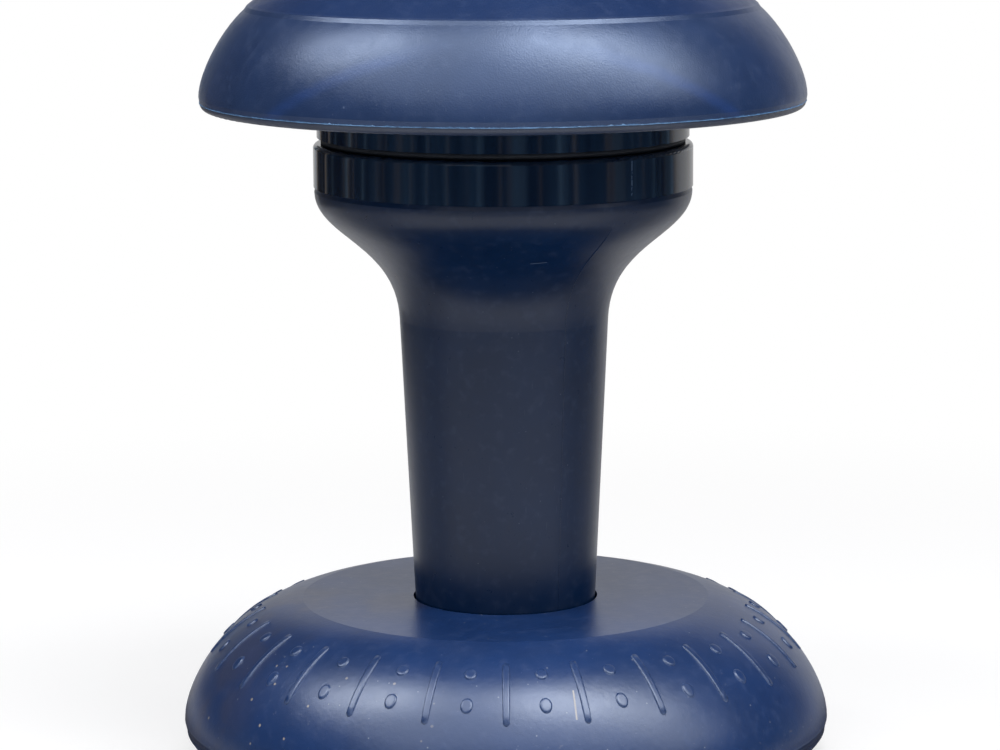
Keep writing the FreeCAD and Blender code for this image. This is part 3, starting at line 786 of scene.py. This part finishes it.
class STOOL_OT_stage(Operator):
    """Set up the camera, the lamps, the white surroundings and the floor"""
    bl_idname = "stool.stage"
    bl_label = "Set Stage"

    def execute(self, context):
        stage = context.scene.stool.stage
        self.camera(context, stage)
        self.lamps(stage)
        self.world(context, stage)
        self.floor(context)
        context.scene.view_settings.view_transform = "Standard"
        return {"FINISHED"}

    def camera(self, context, stage):
        data = bpy.data.cameras.new("photo_camera")
        data.lens = stage.lens
        data.sensor_width = SENSOR_WIDTH
        data.clip_start = 0.05
        camera = bpy.data.objects.new("photo_camera", data)
        turn = Matrix.Rotation(math.radians(90.0) - stage.camera_pitch, 4, "X")
        roll = Matrix.Rotation(-stage.camera_roll, 4, "Z")
        spot = Matrix.Translation((stage.camera_aside, -stage.camera_distance, stage.camera_height))
        camera.matrix_world = spot @ turn @ roll
        context.scene.collection.objects.link(camera)
        context.scene.camera = camera

    def lamps(self, stage):
        """Four lamps over the stool, and a wide panel above them that reaches out in front."""
        panel = stage.panel_radiance
        soft_lamp("key_left", (-1.28, -0.08, LAMP_HEIGHT), 1.34, 0.56, stage.left_radiance, turn=-21.0)
        soft_lamp("key_right", (0.50, -0.52, LAMP_HEIGHT), 0.86, 0.62, stage.right_radiance)
        soft_lamp("key_middle", (-0.28, -0.50, LAMP_HEIGHT), 0.66, 0.4, panel * 0.8)
        soft_lamp("key_side", (1.40, -0.50, LAMP_HEIGHT), 0.9, 0.8, panel * 1.9)
        soft_lamp("ceiling_panel", (0.0, -1.12, PANEL_HEIGHT), 3.8, 1.95, panel)

    def world(self, context, stage):
        """White to the camera; to the stool, a bright card behind, a glow low in front, a window on the
        right, and dim uneven things round the rest."""
        world = bpy.data.worlds.new("studio")
        world.use_nodes = True
        context.scene.world = world
        shader = Shader(world.node_tree)
        direction = shader.out("ShaderNodeTexCoord")
        parts = shader.node("ShaderNodeSeparateXYZ", {}, {0: direction})
        x, y, z = [Wire(shader, output) for output in parts.outputs]
        bearing = shader.math("ARCTAN2", x, 0 - y)
        turned = shader.math("ABSOLUTE", bearing)
        rise = shader.math("ARCSINE", z)
        astern = shader.math("ARCTAN2", x, y)
        low_front = (1 - shader.smooth(turned, 0.5, 0.8)) * shader.between(rise, 0.0, 0.62, 0.04)
        card = shader.between(astern, -0.30, 0.62, 0.14) * (1 - shader.smooth(rise, 0.50, 0.62))
        window = shader.between(bearing, 1.00, 1.55, 0.12) * shader.between(rise, 0.42, 0.72, 0.10)
        strength = stage.room + low_front * stage.front + card * (stage.backdrop - stage.room)
        strength = strength + window * stage.panel_radiance * 1.4
        things, tint = room_things(shader, bearing)
        low = 1 - shader.smooth(rise, 0.1, 0.3)
        strength = strength + things * low * (1 - card)
        tint = shader.mix(low * (1 - card), opaque((0.98, 0.98, 1.0)), tint)
        seen = shader.node("ShaderNodeLightPath")
        kinds = ("Is Camera Ray", "Is Glossy Ray", "Is Transmission Ray")
        camera_ray, glossy_ray, passing_ray = [Wire(shader, seen.outputs[kind]) for kind in kinds]
        straight = shader.math("MAXIMUM", camera_ray, passing_ray)
        shown = shader.math("MAXIMUM", straight, glossy_ray * card * 0.3)
        studio = shader.out("ShaderNodeBackground", {}, {0: tint, 1: strength})
        white = shader.out("ShaderNodeBackground", {}, {0: WHITE, 1: 1.0})
        both = shader.out("ShaderNodeMixShader", {}, {0: shown, 1: studio, 2: white})
        shader.node("ShaderNodeOutputWorld", {}, {"Surface": both})

    def floor(self, context):
        """A floor that looks white to the camera but keeps the stool's shadow.

        To the stool it has a painted shadow, dark at the foot and darker at the sides, and it glows behind.
        """
        material, shader = new_material("pale_floor")
        _, x, y, _, radius = shader.place()
        far = shader.smooth(radius, 0.35, 1.1)
        seen = shader.node("ShaderNodeLightPath")
        camera_ray = Wire(shader, seen.outputs["Is Camera Ray"])
        share = 0.42 * (1 - far)
        shaded = shader.mix(far, opaque((0.42, 0.42, 0.43)), BLACK)
        lit = shader.out("ShaderNodeBsdfDiffuse", {}, {0: shaded})
        white = shader.out("ShaderNodeEmission", {}, {0: WHITE, 1: 1.0 - share * 0.9})
        to_camera = shader.out("ShaderNodeAddShader", {}, {0: lit, 1: white})
        # Painted shadow: to the stool the paper is dark at its foot and darker at the sides; far off it
        # fades to dark.
        sweep = (1 - shader.smooth(radius, 0.95, 1.35)) * shader.smooth(radius, 0.20, 0.34)
        turned = shader.math("ABSOLUTE", shader.math("ARCTAN2", x, 0 - y))
        sides = shader.between(turned, 1.2, 2.3, 0.3) * 0.55
        paper = shader.mix(sweep, opaque((0.06, 0.06, 0.07)), opaque((0.80, 0.80, 0.81)))
        paper = shader.mix(sides, paper, opaque((0.12, 0.11, 0.10)))
        away = shader.smooth(radius, 0.95, 1.35)
        behind = shader.between(shader.math("ARCTAN2", x, y), -0.45, 0.95, 0.12)
        things, tint = room_things(shader, shader.math("ARCTAN2", x, 0 - y))
        glow = behind * 0.6 + (1 - behind) * things
        tint = shader.mix(behind, tint, WHITE)
        paper_lit = shader.out("ShaderNodeBsdfDiffuse", {}, {0: paper})
        paper_glow = shader.out("ShaderNodeEmission", {}, {0: tint, 1: glow * away})
        to_stool = shader.out("ShaderNodeAddShader", {}, {0: paper_lit, 1: paper_glow})
        both = shader.out("ShaderNodeMixShader", {}, {0: camera_ray, 1: to_stool, 2: to_camera})
        shader.node("ShaderNodeOutputMaterial", {}, {"Surface": both})
        mesh = bpy.data.meshes.new("pale_floor")
        shape = bmesh.new()
        bmesh.ops.create_circle(shape, cap_ends=True, radius=FLOOR_RADIUS, segments=64)
        shape.to_mesh(mesh)
        shape.free()
        mesh.materials.append(material)
        floor = bpy.data.objects.new("pale_floor", mesh)
        context.scene.collection.objects.link(floor)


class STOOL_OT_seat(Operator):
    """Finish the seat's shell and pan, and add the bead of flash along its rim"""
    bl_idname = "stool.seat"
    bl_label = "Finish Seat"

    def execute(self, context):
        seat = context.scene.stool.seat
        plastic = satin_plastic("seat_satin", seat.colour[:], seat.roughness, seat_marks(seat.worn[:]),
                                sheen=seat.sheen[:], ior=SEAT_IOR, matt_within=CREASE_RADIUS)
        dress(plastic, "seat_shell")
        pan_colour = blend(seat.colour[:], GREY_NAVY, 0.6)
        dress(satin_plastic("seat_pan_satin", pan_colour, seat.roughness + 0.08), "seat_pan")
        edge = satin_plastic("rim_flash_satin", seat.worn[:], seat.roughness + 0.1)
        bead = edge_bead(SEAT_RADIUS - BEAD_INSET, RIM_HEIGHT, seat.flash_size, chip=0.0022, seed=3.0)
        new_piece("rim_flash", bead, edge, "seat")
        return {"FINISHED"}


class STOOL_OT_coupler(Operator):
    """Finish the glossy coupler ring and the collar above it, and fill the gap between them with a dark band
    of painted shade
    """
    bl_idname = "stool.coupler"
    bl_label = "Finish Coupler"

    def execute(self, context):
        coupler = context.scene.stool.coupler
        skin = Skin("coupler_ring")
        gloss = gloss_plastic("coupler_gloss_navy", coupler.colour[:], coupler.roughness, skin)
        dress(gloss, "coupler_ring", "seat_collar")
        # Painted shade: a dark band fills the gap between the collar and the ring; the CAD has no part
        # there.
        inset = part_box("seat_collar")[1].x - coupler.gap_shade_inset
        gap_shade = plain_band(inset, inset - GAP_SHADE_WIDTH, RING_TOP + 0.0003, COLLAR_BOTTOM - 0.0001)
        new_piece("coupler_gap_shade", gap_shade, inner_plastic("gap_shade_plastic"), "seat")
        return {"FINISHED"}


class STOOL_OT_column(Operator):
    """Finish the column and add the parting lines of its mould"""
    bl_idname = "stool.column"
    bl_label = "Finish Column"

    def execute(self, context):
        column = context.scene.stool.column
        skin = Skin("column_shell")
        plastic = satin_plastic("column_satin", column.colour[:], column.roughness, column_marks(skin),
                                ior=COLUMN_IOR)
        dress(plastic, "column_shell")
        front = math.degrees(column.parting_angle)
        for name, angle in (("parting_line_front", front), ("parting_line_back", front + 180.0)):
            line = parting_line(skin, angle, column.parting_width, BASE_TOP - 0.002, COLUMN_TOP - 0.012)
            new_piece(name, line, plastic, "column")
        return {"FINISHED"}


class STOOL_OT_base(Operator):
    """Finish the base and add its raised grips"""
    bl_idname = "stool.base"
    bl_label = "Finish Base"

    def execute(self, context):
        base = context.scene.stool.base
        skin = Skin("base_shell")
        plastic = satin_plastic("base_satin", base.colour[:], base.roughness, base_marks(skin),
                                sheen=base.sheen[:], ior=BASE_IOR)
        dress(plastic, "base_shell")
        flange = satin_plastic("base_flange_satin", blend(base.colour[:], GREY_NAVY, 0.4), 0.45)
        dress(flange, "rocker_plate")
        # The worn share pales the grips' rims: rubbed wear with a painted edge highlight.
        rubbed = satin_plastic("base_grip_satin", base.colour[:], base.roughness, attribute="worn",
                               sheen=base.sheen[:], ior=BASE_IOR)
        new_piece("grip_bars", grip_bars(base, skin), rubbed, "base")
        new_piece("grip_studs", grip_studs(base, skin), rubbed, "base")
        return {"FINISHED"}


class STOOL_OT_underside(Operator):
    """Finish the outsole, the parts inside and the screws, and add the domed heads of the base's screws"""
    bl_idname = "stool.underside"
    bl_label = "Finish Underside"

    def execute(self, context):
        underside = context.scene.stool.underside
        dress(rubber("outsole_rubber_grain", underside.rubber[:]), "outsole")
        dress(inner_plastic("inner_plastic_bloom"), "base_socket", "column_foot")
        steel = zinc_steel("zinc_steel", underside.steel[:])
        dress(steel, "base_screws", "socket_screws", "foot_screws", "coupler_screws", "collar_screws")
        caps = screw_caps(Skin("base_screws"), underside.cap_radius, underside.cap_rise)
        new_piece("base_screw_caps", caps, steel, "base")
        return {"FINISHED"}


class STOOL_PT_panel(Panel):
    """The stool's finishes and its stage"""
    bl_idname = "STOOL_PT_panel"
    bl_label = "Wobble Stool"
    bl_space_type = "VIEW_3D"
    bl_region_type = "UI"
    bl_category = "Stool"

    def draw(self, context):
        settings = context.scene.stool
        for group, operator in (
            (settings.seat, STOOL_OT_seat),
            (settings.coupler, STOOL_OT_coupler),
            (settings.column, STOOL_OT_column),
            (settings.base, STOOL_OT_base),
            (settings.underside, STOOL_OT_underside),
            (settings.stage, STOOL_OT_stage),
        ):
            box = self.layout.box()
            for name in group.__annotations__:
                box.prop(group, name)
            box.operator(operator.bl_idname)


CLASSES = (
    StageSettings,
    SeatSettings,
    CouplerSettings,
    ColumnSettings,
    BaseSettings,
    UndersideSettings,
    StoolSettings,
    STOOL_OT_seat,
    STOOL_OT_coupler,
    STOOL_OT_column,
    STOOL_OT_base,
    STOOL_OT_underside,
    STOOL_OT_stage,
    STOOL_PT_panel,
)


def register():
    for made in CLASSES:
        bpy.utils.register_class(made)
    bpy.types.Scene.stool = PointerProperty(type=StoolSettings)


def unregister():
    del bpy.types.Scene.stool
    for made in reversed(CLASSES):
        bpy.utils.unregister_class(made)


def main():
    register()
    bpy.ops.stool.seat()
    bpy.ops.stool.coupler()
    bpy.ops.stool.column()
    bpy.ops.stool.base()
    bpy.ops.stool.underside()
    bpy.ops.stool.stage()


if __name__ == "__main__":
    main()
